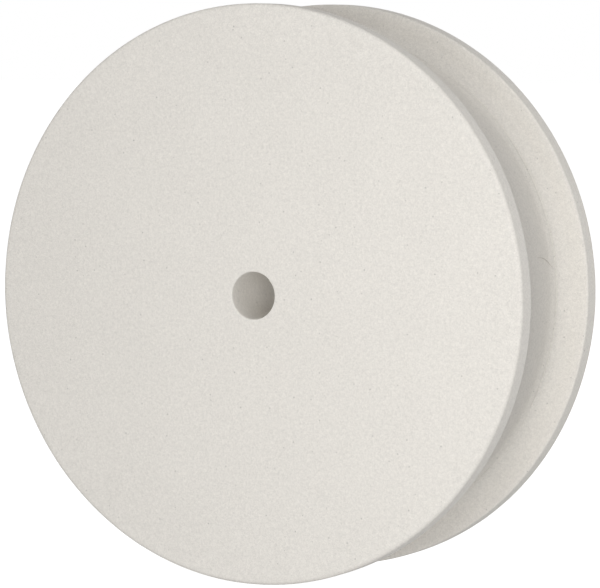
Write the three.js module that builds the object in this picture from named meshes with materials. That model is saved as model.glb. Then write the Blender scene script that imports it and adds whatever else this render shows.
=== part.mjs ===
// A felt polishing wheel, standing upright. Three discs of hard felt are cemented face to
// face, and a wide channel with coved corners is turned in the rim, between two lands.
// Millimetres. The origin is the wheel's centre, the axle runs along Y, and +Z is up.

import * as THREE from 'three';

// Driving dimensions.
const WHEEL_RADIUS = 76.2;
const WHEEL_THICKNESS = 50.8;
const BORE_RADIUS = 6.35;
const LAND_WIDTH = 6.35;
const CHANNEL_DEPTH = 9;
const COVE_RADIUS = 5;
const FLANGE_DISC_THICKNESS = 8.5;
const CEMENT_GAP = 0.3;
const FACE_EDGE_ROUND = 1.5;
const CHANNEL_EDGE_ROUND = 1;
const BORE_MOUTH_ROUND = 1;

// How finely curves are divided.
const TURN_SEGMENTS = 72;
const ROUND_STEPS = 3;
const COVE_STEPS = 3;

// Derived sizes. A height is measured along the axle from the wheel's middle.
const HALF_THICKNESS = WHEEL_THICKNESS / 2;
const HALF_CHANNEL = HALF_THICKNESS - LAND_WIDTH;
const JOINT_HEIGHT = HALF_THICKNESS - FLANGE_DISC_THICKNESS;
const FLOOR_RADIUS = WHEEL_RADIUS - CHANNEL_DEPTH;
const COVE_CENTRE = new THREE.Vector2(FLOOR_RADIUS + COVE_RADIUS, HALF_CHANNEL - COVE_RADIUS);

const QUARTER = Math.PI / 2;
const HARD_FELT = { color: 0xe2ded7, roughness: 0.96, metalness: 0 };

// Points on an arc of a section, in (radius, height).
function arc(centre, radius, from, to, steps) {
  const points = [];
  for (let step = 0; step <= steps; step += 1) {
    const angle = from + (to - from) * (step / steps);
    points.push(new THREE.Vector2(
      centre.x + radius * Math.cos(angle),
      centre.y + radius * Math.sin(angle),
    ));
  }
  return points;
}

// Where the channel's cove is at a height, as an angle about the cove's centre.
function coveAngle(height) {
  return Math.PI - Math.asin((height - COVE_CENTRE.y) / COVE_RADIUS);
}

// The section of the disc at the high end of the axle: the cove's outer part, the channel's
// wall, the land, the wheel's face and the bore.
function flangeSection() {
  const jointFace = JOINT_HEIGHT + CEMENT_GAP / 2;
  const channelEdge = new THREE.Vector2(
    WHEEL_RADIUS - CHANNEL_EDGE_ROUND,
    HALF_CHANNEL + CHANNEL_EDGE_ROUND,
  );
  const faceEdge = new THREE.Vector2(
    WHEEL_RADIUS - FACE_EDGE_ROUND,
    HALF_THICKNESS - FACE_EDGE_ROUND,
  );
  const boreMouth = new THREE.Vector2(
    BORE_RADIUS + BORE_MOUTH_ROUND,
    HALF_THICKNESS - BORE_MOUTH_ROUND,
  );
  return [
    ...arc(COVE_CENTRE, COVE_RADIUS, coveAngle(jointFace), QUARTER, COVE_STEPS),
    ...arc(channelEdge, CHANNEL_EDGE_ROUND, -QUARTER, 0, ROUND_STEPS),
    ...arc(faceEdge, FACE_EDGE_ROUND, 0, QUARTER, ROUND_STEPS),
    ...arc(boreMouth, BORE_MOUTH_ROUND, QUARTER, 2 * QUARTER, ROUND_STEPS),
    new THREE.Vector2(BORE_RADIUS, jointFace),
  ];
}

// The section of the middle disc: the channel's floor, which flares into a cove at each end.
function coreSection() {
  const jointFace = JOINT_HEIGHT - CEMENT_GAP / 2;
  const flare = arc(COVE_CENTRE, COVE_RADIUS, Math.PI, coveAngle(jointFace), COVE_STEPS);
  return [
    ...mirrored(flare),
    ...flare,
    new THREE.Vector2(BORE_RADIUS, jointFace),
    new THREE.Vector2(BORE_RADIUS, -jointFace),
  ];
}

// The same outline at the other end of the axle, still going round the same way.
function mirrored(section) {
  return section.map((point) => new THREE.Vector2(point.x, -point.y)).reverse();
}

// A felt disc turned about the axle from a section, which is closed on itself here.
function feltDisc(name, section) {
  const outline = [...section, section[0].clone()];
  const geometry = new THREE.LatheGeometry(outline, TURN_SEGMENTS);
  const disc = new THREE.Mesh(geometry, new THREE.MeshStandardMaterial(HARD_FELT));
  disc.name = name;
  return disc;
}

const wheel = new THREE.Group();
wheel.add(feltDisc('front_flange_disc', mirrored(flangeSection())));
wheel.add(feltDisc('core_disc', coreSection()));
wheel.add(feltDisc('rear_flange_disc', flangeSection()));

export default wheel;
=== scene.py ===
"""A felt polishing wheel, standing on a plain white studio floor.

Three discs of hard felt are cemented face to face, with a wide channel turned in the rim.
Metres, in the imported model's frame: the axle runs along Y, the front is at -Y, +Z is up.
"""

import math
import random

import bmesh
import bpy
from mathutils import Matrix, Vector, noise
from mathutils.bvhtree import BVHTree


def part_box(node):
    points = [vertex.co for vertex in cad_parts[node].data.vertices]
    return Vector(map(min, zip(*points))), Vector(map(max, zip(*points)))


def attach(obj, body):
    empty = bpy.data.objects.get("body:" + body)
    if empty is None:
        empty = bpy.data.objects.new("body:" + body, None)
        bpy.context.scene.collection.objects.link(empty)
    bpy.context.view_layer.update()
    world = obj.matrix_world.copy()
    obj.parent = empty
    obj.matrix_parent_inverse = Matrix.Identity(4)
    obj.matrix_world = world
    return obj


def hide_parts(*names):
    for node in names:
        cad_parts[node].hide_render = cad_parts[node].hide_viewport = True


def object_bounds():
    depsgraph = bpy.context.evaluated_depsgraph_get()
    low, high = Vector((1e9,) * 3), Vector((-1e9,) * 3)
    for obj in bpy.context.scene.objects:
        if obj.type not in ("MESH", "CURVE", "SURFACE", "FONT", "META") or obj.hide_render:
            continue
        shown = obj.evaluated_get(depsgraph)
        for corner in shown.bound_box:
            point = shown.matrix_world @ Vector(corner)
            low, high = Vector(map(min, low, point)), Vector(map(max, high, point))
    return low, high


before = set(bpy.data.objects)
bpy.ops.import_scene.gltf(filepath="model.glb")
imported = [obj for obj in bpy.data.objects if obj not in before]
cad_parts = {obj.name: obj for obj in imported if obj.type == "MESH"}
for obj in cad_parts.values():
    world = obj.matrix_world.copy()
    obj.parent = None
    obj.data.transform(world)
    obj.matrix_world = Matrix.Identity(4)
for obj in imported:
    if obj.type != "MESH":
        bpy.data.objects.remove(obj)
cad_low, cad_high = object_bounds()

MM = 0.001
QUARTER = math.pi / 2

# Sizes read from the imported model. A height is measured along the axle from the middle.
WHEEL_RADIUS = cad_high.x
HALF_THICKNESS = cad_high.y
JOINT_HEIGHT = (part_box("core_disc")[1].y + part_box("rear_flange_disc")[0].y) / 2
ARBOR_RADIUS = min(
    math.hypot(v.co.x, v.co.z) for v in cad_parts["core_disc"].data.vertices
)

# The channel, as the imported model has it.
LAND_WIDTH = 6.35 * MM
CHANNEL_DEPTH = 9 * MM
COVE_RADIUS = 5 * MM
HALF_CHANNEL = HALF_THICKNESS - LAND_WIDTH
FLOOR_RADIUS = WHEEL_RADIUS - CHANNEL_DEPTH
COVE_CENTRE = (FLOOR_RADIUS + COVE_RADIUS, HALF_CHANNEL - COVE_RADIUS)

# Soft edges and the slight crown of the faces.
FACE_EDGE_ROUND = 1.1 * MM
CHANNEL_EDGE_ROUND = 0.5 * MM
BORE_MOUTH_ROUND = 0.25 * MM
CROWN_SAG = 0.4 * MM
CROWN_POWER = 6
BORE_SPRING_BACK = 0.12 * MM
BORE_RADIUS = ARBOR_RADIUS - BORE_SPRING_BACK
JOINT_LIP = 0.12 * MM
JOINT_GAP = 0.01 * MM

# How finely the felt is divided.
RING_SEGMENTS = 720
HALVING_RADII = (36 * MM, 18 * MM)
FELT_SPACING = 0.65 * MM
EDGE_SPACING = 0.3 * MM
BORE_SPACING = 1.0 * MM
JOINT_SPACING = 5 * MM
SHARP_ANGLE = math.radians(50)

# The felt's own unevenness: height from trough to crest, and the length it spreads over.
BROAD_HEIGHT = 0.10 * MM
BROAD_LENGTH = 22 * MM
DIMPLE_HEIGHT = 0.018 * MM
DIMPLE_LENGTH = 3.2 * MM
GRAIN_HEIGHT = 0.010 * MM
GRAIN_LENGTH = 1.4 * MM

# Loose fibres on the felt.
FIBRE_STEP = 0.3 * MM
FIBRE_LENGTHS = (1.0 * MM, 3.5 * MM)
FIBRE_THICKNESSES = (0.02 * MM, 0.045 * MM)
FIBRE_LIFTS = (0.02 * MM, 0.15 * MM)
FIBRE_BEND = 2.6
STRAND_SIDES = 4
BORE_EDGE = BORE_RADIUS + 2 * MM

# The dark fibre in the channel: its two ends, as angles round the wheel in degrees and as
# heights, and how late it hooks round between them.
STRAY_FIBRE_ANGLES = (8.5, 5.5)
STRAY_FIBRE_HEIGHTS = (7 * MM, 16.5 * MM)
STRAY_FIBRE_HOOK = 3
STRAY_FIBRE_STEPS = 20
STRAY_FIBRE_THICKNESS = 0.08 * MM

# Colours. The felt's is the record's base colour for it.
FELT_COLOUR = (0.78, 0.75, 0.70)
STRAY_FIBRE_COLOUR = (0.30, 0.25, 0.20)
FLOOR_COLOUR = (0.6, 0.6, 0.6)

# The felt's mottling: how fine each layer's noise is, and how far it lightens and darkens.
CLOUD_SCALE = 45
CLOUD_SHADE = 0.05
TUFT_SCALE = 1300
TUFT_SHADE = 0.31
NAP_SCALE = 3800
NAP_SHADE = 0.47

# Its pores, which the colour darkens as painted shade in their pits: the pattern's scale, the part of
# its cells left plain, and a pore's edge and depth of painted shade.
PORE_SCALE = 400
PLAIN_CELLS = 0.5
PORE_OUTSIDE = 0.11
PORE_INSIDE = 0.05
# Painted shade: how much darker the colour is painted in a pore's pit.
PORE_PAINTED_SHADE = -0.28

# Its nap, as bump.
TUFT_HEIGHT = 0.8
PORE_HEIGHT = -0.6
NAP_STRENGTH = 0.35
NAP_HEIGHT = 0.12 * MM
FELT_ROUGHNESS = 0.93
ROUGHNESS_CHANGE = 0.1

# The surround as a light, and as the camera sees it. The floor glows much like the surround.
WORLD_FILL = 0.4
WORLD_BACKDROP = 1.0
FLOOR_GLOW = 0.87
FLOOR_HALF_SIDE = 9.0

CAMERA_AZIMUTH = 26.6
CAMERA_ELEVATION = 4
CAMERA_DISTANCE = 0.98
CAMERA_AIM = (8 * MM, -14 * MM, 0)
CAMERA_LENS = 223.5


# --- the camera, the floor and the lights ---


def direction(azimuth, elevation):
    """The way from the wheel to a place. Azimuth 0 is the front and 90 the +X side."""
    turn = math.radians(azimuth)
    rise = math.radians(elevation)
    return Vector(
        (math.sin(turn) * math.cos(rise), -math.cos(turn) * math.cos(rise), math.sin(rise))
    )


def make_camera():
    """A long lens, a little above the axle and to the right of it."""
    data = bpy.data.cameras.new("camera")
    data.lens = CAMERA_LENS
    data.clip_end = 100
    camera = bpy.data.objects.new("camera", data)
    towards = direction(CAMERA_AZIMUTH, CAMERA_ELEVATION)
    camera.location = Vector(CAMERA_AIM) + towards * CAMERA_DISTANCE
    camera.rotation_mode = "QUATERNION"
    camera.rotation_quaternion = towards.to_track_quat("Z", "Y")
    bpy.context.scene.collection.objects.link(camera)
    bpy.context.scene.camera = camera


def make_floor():
    """A pale floor that neither shades the wheel nor lights it, like a light table's sheet."""
    half = FLOOR_HALF_SIDE
    level = cad_low.z
    corners = [
        (-half, -half, level),
        (half, -half, level),
        (half, half, level),
        (-half, half, level),
    ]
    mesh = bpy.data.meshes.new("floor")
    mesh.from_pydata(corners, [], [(0, 1, 2, 3)])
    floor = bpy.data.objects.new("floor", mesh)
    bpy.context.scene.collection.objects.link(floor)
    mesh.materials.append(floor_material())
    floor.visible_diffuse = False
    floor.visible_shadow = False


def make_world():
    """White behind the wheel, and a softer grey in the light that falls on it."""
    world = bpy.data.worlds.new("studio")
    world.use_nodes = True
    bpy.context.scene.world = world
    tree = world.node_tree
    tree.nodes.clear()
    rays = node(tree, "ShaderNodeLightPath")
    fill = node(tree, "ShaderNodeBackground", {"Color": (1, 1, 1, 1), "Strength": WORLD_FILL})
    backdrop = node(tree, "ShaderNodeBackground", {"Color": (1, 1, 1, 1), "Strength": WORLD_BACKDROP})
    mixed = node(
        tree,
        "ShaderNodeMixShader",
        {0: rays.outputs["Is Camera Ray"], 1: fill.outputs[0], 2: backdrop.outputs[0]},
    )
    node(tree, "ShaderNodeOutputWorld", {"Surface": mixed.outputs[0]})


def softbox(name, azimuth, elevation, distance, size, power):
    """A round, white, soft light that faces the wheel."""
    towards = direction(azimuth, elevation)
    data = bpy.data.lights.new(name, "AREA")
    data.shape = "DISK"
    data.size = size
    data.energy = power
    light = bpy.data.objects.new(name, data)
    light.location = towards * distance
    light.rotation_mode = "QUATERNION"
    light.rotation_quaternion = towards.to_track_quat("Z", "Y")
    light.visible_camera = False
    bpy.context.scene.collection.objects.link(light)


def make_lights():
    """A near key at the front right, and broad fills at the left, above and behind."""
    softbox("key", 25, 0, 0.5, 0.3, 1.4)
    softbox("left_fill", -70, 15, 0.8, 0.5, 0.5)
    softbox("top_fill", 60, 60, 0.8, 0.5, 0.8)
    softbox("rear_fill", 165, 0, 0.8, 0.4, 3.5)


# --- materials ---


def node(tree, kind, inputs=None, **settings):
    """Adds a node, sets its properties, and links or sets its inputs."""
    made = tree.nodes.new(kind)
    for key, value in settings.items():
        setattr(made, key, value)
    for key, value in (inputs or {}).items():
        if isinstance(value, bpy.types.NodeSocket):
            tree.links.new(value, made.inputs[key])
        else:
            made.inputs[key].default_value = value
    return made


def maths(tree, operation, a, b=0.0, c=0.0):
    """A Math node's result."""
    return node(tree, "ShaderNodeMath", {0: a, 1: b, 2: c}, operation=operation).outputs[0]


def map_range(tree, value, start, end):
    """How far a value is from start to end: 0 at the start, 1 at the end, and no further."""
    sockets = {"Value": value, "From Min": start, "From Max": end}
    return node(tree, "ShaderNodeMapRange", sockets).outputs[0]


def new_material(name):
    """A material with its node tree and its shader."""
    material = bpy.data.materials.new(name)
    material.use_nodes = True
    return material, material.node_tree, material.node_tree.nodes["Principled BSDF"]


def floor_material():
    """Matt white, with a glow of its own like the base of a light tent."""
    material, tree, shader = new_material("studio_floor")
    shader.inputs["Base Color"].default_value = (*FLOOR_COLOUR, 1)
    shader.inputs["Roughness"].default_value = 1
    shader.inputs["Specular IOR Level"].default_value = 0
    shader.inputs["Emission Color"].default_value = (1, 1, 1, 1)
    shader.inputs["Emission Strength"].default_value = FLOOR_GLOW
    return material


def grain(tree, place, scale, detail, roughness=0.5, distortion=0.0):
    """Noise centred on zero."""
    made = node(
        tree,
        "ShaderNodeTexNoise",
        {"Vector": place, "Scale": scale, "Detail": detail, "Roughness": roughness,
         "Distortion": distortion},
    )
    return maths(tree, "SUBTRACT", made.outputs["Fac"], 0.5)


def fibre_material(name, colour):
    """A single wool fibre: a little shinier than the felt, and uneven in colour along its length."""
    material, tree, shader = new_material(name)
    place = node(tree, "ShaderNodeTexCoord").outputs["Object"]
    shade = maths(tree, "MULTIPLY_ADD", grain(tree, place, 900, 2), 0.4, 1.0)
    made = node(tree, "ShaderNodeVectorMath", {0: colour, "Scale": shade}, operation="SCALE")
    tree.links.new(made.outputs[0], shader.inputs["Base Color"])
    shader.inputs["Roughness"].default_value = 0.7
    shader.inputs["Specular IOR Level"].default_value = 0.3
    return material


def felt_material():
    """Pressed white wool felt, the same all over: matt, faintly mottled, with small pores whose pits
    are painted darker as shade.
    """
    material, tree, shader = new_material("hard_felt")
    place = node(tree, "ShaderNodeTexCoord").outputs["Object"]

    # Mottling, from cloudy patches down to single tufts.
    clouds = grain(tree, place, CLOUD_SCALE, 3)
    tufts = grain(tree, place, TUFT_SCALE, 3, 0.6, 0.6)
    fibres = grain(tree, place, NAP_SCALE, 2, 0.6, 1.2)
    shade = maths(tree, "MULTIPLY_ADD", clouds, CLOUD_SHADE, 1.0)
    shade = maths(tree, "MULTIPLY_ADD", tufts, TUFT_SHADE, shade)
    shade = maths(tree, "MULTIPLY_ADD", fibres, NAP_SHADE, shade)

    # Pores, in half of the cells of a coarse pattern: dented by the bump below, and darkened in
    # colour as painted shade in their pits.
    cells = node(tree, "ShaderNodeTexVoronoi", {"Vector": place, "Scale": PORE_SCALE})
    pore = map_range(tree, cells.outputs["Distance"], PORE_OUTSIDE, PORE_INSIDE)
    chance = node(tree, "ShaderNodeSeparateColor", {0: cells.outputs["Color"]}).outputs[0]
    pore = maths(tree, "MULTIPLY", pore, maths(tree, "GREATER_THAN", chance, PLAIN_CELLS))
    # The pores' pits are painted darker in the colour, as painted shade.
    shade = maths(tree, "MULTIPLY_ADD", pore, PORE_PAINTED_SHADE, shade)

    colour = node(tree, "ShaderNodeVectorMath", {0: FELT_COLOUR, "Scale": shade}, operation="SCALE")
    tree.links.new(colour.outputs[0], shader.inputs["Base Color"])

    # The nap: tufts and crossing fibres.
    height = maths(tree, "MULTIPLY_ADD", tufts, TUFT_HEIGHT, fibres)
    height = maths(tree, "MULTIPLY_ADD", pore, PORE_HEIGHT, height)
    bump = node(
        tree,
        "ShaderNodeBump",
        {"Height": height, "Strength": NAP_STRENGTH, "Distance": NAP_HEIGHT},
    )
    tree.links.new(bump.outputs[0], shader.inputs["Normal"])
    rough = maths(tree, "MULTIPLY_ADD", tufts, ROUGHNESS_CHANGE, FELT_ROUGHNESS)
    tree.links.new(rough, shader.inputs["Roughness"])
    shader.inputs["Specular IOR Level"].default_value = 0.15
    shader.inputs["Sheen Weight"].default_value = 0.08
    shader.inputs["Sheen Roughness"].default_value = 0.5
    return material


# --- the felt discs ---


def line(start, end, spacing):
    """Points between two places of a section, without its ends."""
    steps = max(1, round(math.dist(start, end) / spacing))
    return [
        tuple(a + (b - a) * i / steps for a, b in zip(start, end))
        for i in range(1, steps)
    ]


def arc(centre, radius, start, end, spacing):
    """Points on an arc of a section, with its ends."""
    steps = max(3, round(abs(end - start) * radius / spacing))
    angles = [start + (end - start) * i / steps for i in range(steps + 1)]
    return [(centre[0] + radius * math.cos(a), centre[1] + radius * math.sin(a)) for a in angles]


def cove_angle(height):
    """Where the cove is at a height, as an angle about the cove's centre."""
    return math.pi - math.asin((height - COVE_CENTRE[1]) / COVE_RADIUS)


def face_height(radius):
    """The wheel's face is flat in the middle and falls away slightly towards the rim."""
    return HALF_THICKNESS - CROWN_SAG * (radius / WHEEL_RADIUS) ** CROWN_POWER


def face_points(outer, inner):
    """Points across the face, from the rim's edge to the bore's mouth, without its ends."""
    steps = round((outer - inner) / FELT_SPACING)
    radii = [outer + (inner - outer) * i / steps for i in range(1, steps)]
    return [(radius, face_height(radius)) for radius in radii]


def flange_section():
    """The disc at the high end of the axle: joint face, cove, wall, land, face and bore."""
    joint = JOINT_HEIGHT + JOINT_GAP / 2
    cove_start = cove_angle(joint + JOINT_LIP)
    lip = (COVE_CENTRE[0] + COVE_RADIUS * math.cos(cove_start), joint + JOINT_LIP)
    slope = math.atan(CROWN_SAG * CROWN_POWER / WHEEL_RADIUS)
    edge_radius = WHEEL_RADIUS - FACE_EDGE_ROUND
    face_start = edge_radius + FACE_EDGE_ROUND * math.sin(slope)
    edge_centre = (edge_radius, face_height(face_start) - FACE_EDGE_ROUND * math.cos(slope))
    wall_end = (WHEEL_RADIUS - CHANNEL_EDGE_ROUND, HALF_CHANNEL)
    wall_centre = (wall_end[0], HALF_CHANNEL + CHANNEL_EDGE_ROUND)
    mouth = BORE_RADIUS + BORE_MOUTH_ROUND
    mouth_centre = (mouth, HALF_THICKNESS - BORE_MOUTH_ROUND)
    joint_start = (BORE_RADIUS, joint)
    joint_end = (lip[0] - JOINT_LIP, joint)
    return [
        joint_start,
        *line(joint_start, joint_end, JOINT_SPACING),
        *arc((joint_end[0], lip[1]), JOINT_LIP, -QUARTER, 0, JOINT_LIP / 2)[:-1],
        *arc(COVE_CENTRE, COVE_RADIUS, cove_start, QUARTER, FELT_SPACING),
        *line((COVE_CENTRE[0], HALF_CHANNEL), wall_end, FELT_SPACING),
        *arc(wall_centre, CHANNEL_EDGE_ROUND, -QUARTER, 0, EDGE_SPACING),
        *line((WHEEL_RADIUS, wall_centre[1]), (WHEEL_RADIUS, edge_centre[1]), FELT_SPACING),
        *arc(edge_centre, FACE_EDGE_ROUND, 0, QUARTER - slope, EDGE_SPACING),
        *face_points(face_start, mouth),
        *arc(mouth_centre, BORE_MOUTH_ROUND, QUARTER, 2 * QUARTER, EDGE_SPACING),
        *line((BORE_RADIUS, mouth_centre[1]), joint_start, BORE_SPACING),
    ]


def core_section():
    """The middle disc: the channel's floor, which flares into a cove at each end."""
    joint = JOINT_HEIGHT - JOINT_GAP / 2
    cove_end = cove_angle(joint - JOINT_LIP)
    lip = (COVE_CENTRE[0] + COVE_RADIUS * math.cos(cove_end), joint - JOINT_LIP)
    joint_start = (lip[0] - JOINT_LIP, joint)
    joint_end = (BORE_RADIUS, joint)
    half = [
        *arc(COVE_CENTRE, COVE_RADIUS, math.pi, cove_end, FELT_SPACING)[:-1],
        *arc((joint_start[0], lip[1]), JOINT_LIP, 0, QUARTER, JOINT_LIP / 2),
        *line(joint_start, joint_end, JOINT_SPACING),
        joint_end,
    ]
    return [
        *mirrored(half),
        *line((FLOOR_RADIUS, -COVE_CENTRE[1]), (FLOOR_RADIUS, COVE_CENTRE[1]), FELT_SPACING),
        *half,
        *line(joint_end, (BORE_RADIUS, -joint), BORE_SPACING),
    ]


def mirrored(section):
    """The same outline at the other end of the axle, still going round the same way."""
    return [(radius, -height) for radius, height in reversed(section)]


def ring_segments(radius):
    """A ring has half as many segments inside each of the halving radii."""
    return RING_SEGMENTS // 2 ** sum(radius < limit for limit in HALVING_RADII)


def is_joint_face(height):
    """Whether this height is at a face that is cemented to the next disc."""
    return abs(abs(height) - JOINT_HEIGHT) < JOINT_LIP


def unevenness(point):
    """How far the surface stands out from its turned shape."""
    layers = (
        (BROAD_HEIGHT, BROAD_LENGTH),
        (DIMPLE_HEIGHT, DIMPLE_LENGTH),
        (GRAIN_HEIGHT, GRAIN_LENGTH),
    )
    return sum(height / 2 * noise.noise(point / length) for height, length in layers)


def ring(section, index):
    """One ring of the disc's points, each moved along the section's normal."""
    radius, height = section[index]
    before = section[index - 1]
    after = section[(index + 1) % len(section)]
    along = Vector((after[0] - before[0], after[1] - before[1])).normalized()
    normal = (along.y, -along.x)
    segments = ring_segments(radius)
    points = []
    for k in range(segments):
        angle = 2 * math.pi * k / segments
        out = Vector((math.cos(angle), 0, math.sin(angle)))
        point = out * radius + Vector((0, height, 0))
        if not is_joint_face(height):
            point += (out * normal[0] + Vector((0, normal[1], 0))) * unevenness(point)
        points.append(point)
    return points


def strip(first, second, first_count, second_count):
    """Faces between two rings that start at these indexes. One may have twice the other's points."""
    if first_count < second_count:
        return strip(second, first, second_count, first_count)
    faces = []
    for k in range(second_count):
        b, b_next = second + k, second + (k + 1) % second_count
        if first_count == second_count:
            faces.append((first + k, first + (k + 1) % first_count, b_next, b))
            continue
        a, a_mid, a_next = first + 2 * k, first + 2 * k + 1, first + (2 * k + 2) % first_count
        faces += [(a, a_mid, b), (a_mid, b_next, b), (a_mid, a_next, b_next)]
    return faces


def felt_disc(name, section, cad_node, material):
    """A disc turned from a section that is closed on itself."""
    points, starts, counts = [], [], []
    for index in range(len(section)):
        starts.append(len(points))
        points += ring(section, index)
        counts.append(len(points) - starts[-1])
    faces = []
    for i in range(len(section)):
        j = (i + 1) % len(section)
        faces += strip(starts[i], starts[j], counts[i], counts[j])
    mesh = bpy.data.meshes.new(name)
    mesh.from_pydata(points, [], faces)
    turn_faces_out(mesh)
    mesh.shade_smooth()
    mesh.set_sharp_from_angle(angle=SHARP_ANGLE)
    mesh.materials.append(material)
    disc = bpy.data.objects.new(name, mesh)
    bpy.context.scene.collection.objects.link(disc)
    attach(disc, "root")
    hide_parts(cad_node)
    return disc


def turn_faces_out(mesh):
    """Turns every face of a closed mesh to point outwards."""
    work = bmesh.new()
    work.from_mesh(mesh)
    bmesh.ops.recalc_face_normals(work, faces=work.faces)
    work.to_mesh(mesh)
    work.free()


# --- loose fibres ---


def surface_tree(disc):
    """Finds the nearest point of a disc's surface."""
    mesh = disc.data
    return BVHTree.FromPolygons(
        [vertex.co for vertex in mesh.vertices],
        [polygon.vertices for polygon in mesh.polygons],
    )


def fibre_path(tree, start, heading, length, bend, lift):
    """Points along a fibre that lies on the felt, with its middle a little way off it."""
    steps = max(5, round(length / FIBRE_STEP))
    place = start
    points = []
    for step in range(steps + 1):
        place, normal, *_ = tree.find_nearest(place)
        points.append(place + normal * lift * math.sin(math.pi * step / steps))
        heading = Matrix.Rotation(bend / steps, 3, normal) @ heading
        heading = (heading - normal * heading.dot(normal)).normalized()
        place = place + heading * length / steps
    return points


def add_strand(work, points, thickness):
    """A fine closed tube along the points, which narrows to a tip at each end."""
    last = len(points) - 1
    rings = []
    for i in range(1, last):
        along = (points[i + 1] - points[i - 1]).normalized()
        side = along.orthogonal().normalized()
        up = along.cross(side)
        radius = thickness / 2 * math.sin(math.pi * i / last) ** 0.5
        turns = [2 * math.pi * k / STRAND_SIDES for k in range(STRAND_SIDES)]
        rims = [(side * math.cos(t) + up * math.sin(t)) * radius for t in turns]
        rings.append([work.verts.new(points[i] + rim) for rim in rims])
    tips = (work.verts.new(points[0]), work.verts.new(points[last]))
    for k in range(STRAND_SIDES):
        following = (k + 1) % STRAND_SIDES
        work.faces.new((tips[0], rings[0][following], rings[0][k]))
        work.faces.new((tips[1], rings[-1][k], rings[-1][following]))
        for a, b in zip(rings, rings[1:]):
            work.faces.new((a[k], a[following], b[following], b[k]))


def strand_piece(name, strands, material):
    """One piece that holds these strands, each a list of points and a thickness."""
    work = bmesh.new()
    for points, thickness in strands:
        add_strand(work, points, thickness)
    mesh = bpy.data.meshes.new(name)
    work.to_mesh(mesh)
    work.free()
    mesh.shade_smooth()
    mesh.materials.append(material)
    piece = bpy.data.objects.new(name, mesh)
    bpy.context.scene.collection.objects.link(piece)
    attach(piece, "root")


def loose_fibres(disc, name, count, seed, material):
    """Fine fibres that the felt has shed, scattered over the part of a disc that shows."""
    chance = random.Random(seed)
    tree = surface_tree(disc)
    shown = [
        polygon for polygon in disc.data.polygons
        if not is_joint_face(polygon.center.y)
        and math.hypot(polygon.center.x, polygon.center.z) > BORE_EDGE
    ]
    areas = [polygon.area for polygon in shown]
    strands = []
    for polygon in chance.choices(shown, areas, k=count):
        spin = Matrix.Rotation(chance.uniform(0, 2 * math.pi), 3, polygon.normal)
        heading = (spin @ polygon.normal.orthogonal()).normalized()
        length = chance.uniform(*FIBRE_LENGTHS)
        bend = chance.uniform(-FIBRE_BEND, FIBRE_BEND)
        lift = chance.uniform(*FIBRE_LIFTS)
        points = fibre_path(tree, polygon.center.copy(), heading, length, bend, lift)
        strands.append((points, chance.uniform(*FIBRE_THICKNESSES)))
    strand_piece(name, strands, material)


def channel_point(degrees, height):
    """A point of the channel's turned surface."""
    radius = FLOOR_RADIUS
    if abs(height) > COVE_CENTRE[1]:
        radius = COVE_CENTRE[0] + COVE_RADIUS * math.cos(cove_angle(abs(height)))
    angle = math.radians(degrees)
    return Vector((radius * math.cos(angle), height, radius * math.sin(angle)))


def between(ends, share):
    """The value at a share of the way from the first end to the second."""
    return ends[0] + (ends[1] - ends[0]) * share


def stray_fibre(disc, material):
    """The one dark fibre in the channel: up the cove to the joint, with a hook at its end."""
    tree = surface_tree(disc)
    points = []
    for step in range(STRAY_FIBRE_STEPS + 1):
        share = step / STRAY_FIBRE_STEPS
        degrees = between(STRAY_FIBRE_ANGLES, share ** STRAY_FIBRE_HOOK)
        on_wheel = channel_point(degrees, between(STRAY_FIBRE_HEIGHTS, share))
        place, normal, *_ = tree.find_nearest(on_wheel)
        points.append(place + normal * STRAY_FIBRE_THICKNESS / 2)
    strand_piece("stray_fibre", [(points, STRAY_FIBRE_THICKNESS)], material)


# --- the scene ---


make_camera()
make_world()
make_floor()
make_lights()

felt = felt_material()
wool = fibre_material("wool_fibre", FELT_COLOUR)
hair = fibre_material("dark_fibre", STRAY_FIBRE_COLOUR)
front = felt_disc("front_felt_disc", mirrored(flange_section()), "front_flange_disc", felt)
core = felt_disc("core_felt_disc", core_section(), "core_disc", felt)
rear = felt_disc("rear_felt_disc", flange_section(), "rear_flange_disc", felt)
loose_fibres(front, "front_loose_fibres", 260, 11, wool)
loose_fibres(core, "core_loose_fibres", 120, 12, wool)
loose_fibres(rear, "rear_loose_fibres", 260, 13, wool)
stray_fibre(core, hair)

bpy.context.scene.view_settings.view_transform = "Standard"
